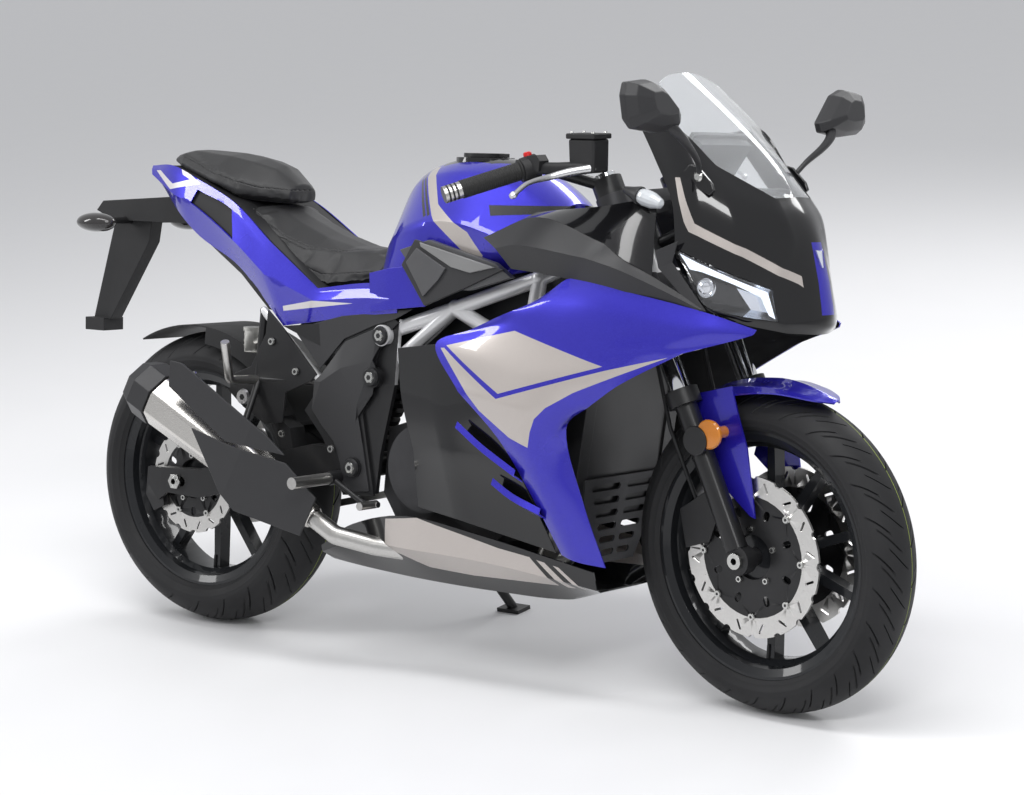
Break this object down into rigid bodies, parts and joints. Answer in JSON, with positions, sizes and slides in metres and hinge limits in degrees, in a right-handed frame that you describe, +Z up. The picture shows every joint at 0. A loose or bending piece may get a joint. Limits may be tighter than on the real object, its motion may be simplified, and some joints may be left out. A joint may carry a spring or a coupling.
{
  "type": "sport motorcycle",
  "caption": "Faired sport motorcycle in blue, silver and black, leaning on its side stand with its front wheel turned slightly",
  "frame": {"origin": "middle of the foot of the bounding box, on the floor", "axes": "+X runs forwards along the machine, +Y to the rider's left, +Z up from the floor. The machine leans 9 degrees to +Y onto its side stand"},
  "size_m": [2.0765, 0.8142, 1.2012],
  "materials": {
    "blue_paint": "gloss royal blue paint",
    "black_gloss": "gloss black panels",
    "charcoal": "satin charcoal panels",
    "black_metal": "satin black coated metal",
    "silver_frame": "silver painted tube",
    "engine_metal": "dark cast metal",
    "steel": "brushed steel",
    "tyre_rubber": "black road tyre",
    "grip_rubber": "soft black rubber",
    "seat_vinyl": "black and grey vinyl cover",
    "clear_screen": "clear acrylic",
    "lens": "clear lens over a dark lamp",
    "lamp_red": "red and amber lenses"
  },
  "bodies": {
    "chassis": {"main_frame": "silver_frame", "engine": "engine_metal", "radiator": "black_metal", "radiator_guard": "steel", "fuel_tank": "blue_paint", "tank_panels": "charcoal", "rider_seat": "seat_vinyl", "pillion_seat": "seat_vinyl", "under_tray": "charcoal", "tail_panel_right": "blue_paint", "tail_panel_left": "blue_paint", "plate_hanger": "charcoal", "rear_lamps": "lamp_red", "footrest_right": "charcoal", "footrest_left": "charcoal", "pillion_rest_right": "silver_frame", "pillion_rest_left": "silver_frame", "upper_cowl": "black_gloss", "headlamps": "lens", "windscreen": "clear_screen", "side_fairing_right": "blue_paint", "side_fairing_left": "blue_paint", "duct_cover_right": "charcoal", "duct_cover_left": "charcoal", "mid_panel_right": "black_gloss", "mid_panel_left": "black_gloss", "belly_pan": "black_gloss", "mirror_right": "charcoal", "mirror_left": "charcoal", "instrument_cluster": "black_gloss", "exhaust_pipe": "steel", "muffler": "steel", "muffler_guard": "charcoal", "rear_shock": "black_metal", "swingarm": "black_metal", "rear_axle": "steel", "chain": "steel", "rear_hugger": "charcoal", "rear_brake": "black_metal"},
    "steering": {"brake_hoses": "grip_rubber", "controls": "black_metal", "fork": "black_metal", "front_axle": "steel", "front_calipers": "black_metal", "front_mudguard": "blue_paint", "grips": "grip_rubber", "handlebars": "black_metal"},
    "front_wheel": {"front_rim": "black_metal", "front_tyre": "tyre_rubber", "front_discs": "steel"},
    "rear_wheel": {"rear_rim": "black_metal", "rear_tyre": "tyre_rubber", "rear_disc": "steel", "rear_sprocket": "steel"},
    "stand": {"side_stand": "black_metal"},
    "lid": {"fuel_lid": "steel"}
  },
  "joints": [
    {"name": "steering", "type": "hinge", "parent": "chassis", "child": "steering", "pos_m": [0.44318, -0.03384, 0.8371], "axis": [-0.423, 0.1418, 0.8949], "range_deg": [-20.2, 33.8]},
    {"name": "front_wheel_spin", "type": "hinge", "parent": "steering", "child": "front_wheel", "pos_m": [0.73963, -0.12369, 0.29869], "axis": [0.1074, 0.9886, -0.1059], "continuous": true},
    {"name": "rear_wheel_spin", "type": "hinge", "parent": "chassis", "child": "rear_wheel", "pos_m": [-0.65013, -0.11736, 0.30928], "axis": [0.0001, 0.9877, -0.1564], "continuous": true},
    {"name": "side_stand_swing", "type": "hinge", "parent": "chassis", "child": "stand", "pos_m": [-0.14509, 0.03659, 0.22034], "axis": [0.0275, 0.8927, 0.4498], "range_deg": [0, 92]},
    {"name": "fuel_lid_hinge", "type": "hinge", "parent": "chassis", "child": "lid", "pos_m": [0.10154, -0.00739, 1.00398], "axis": [0.0001, 0.9877, -0.1564], "range_deg": [0, 90]}
  ]
}
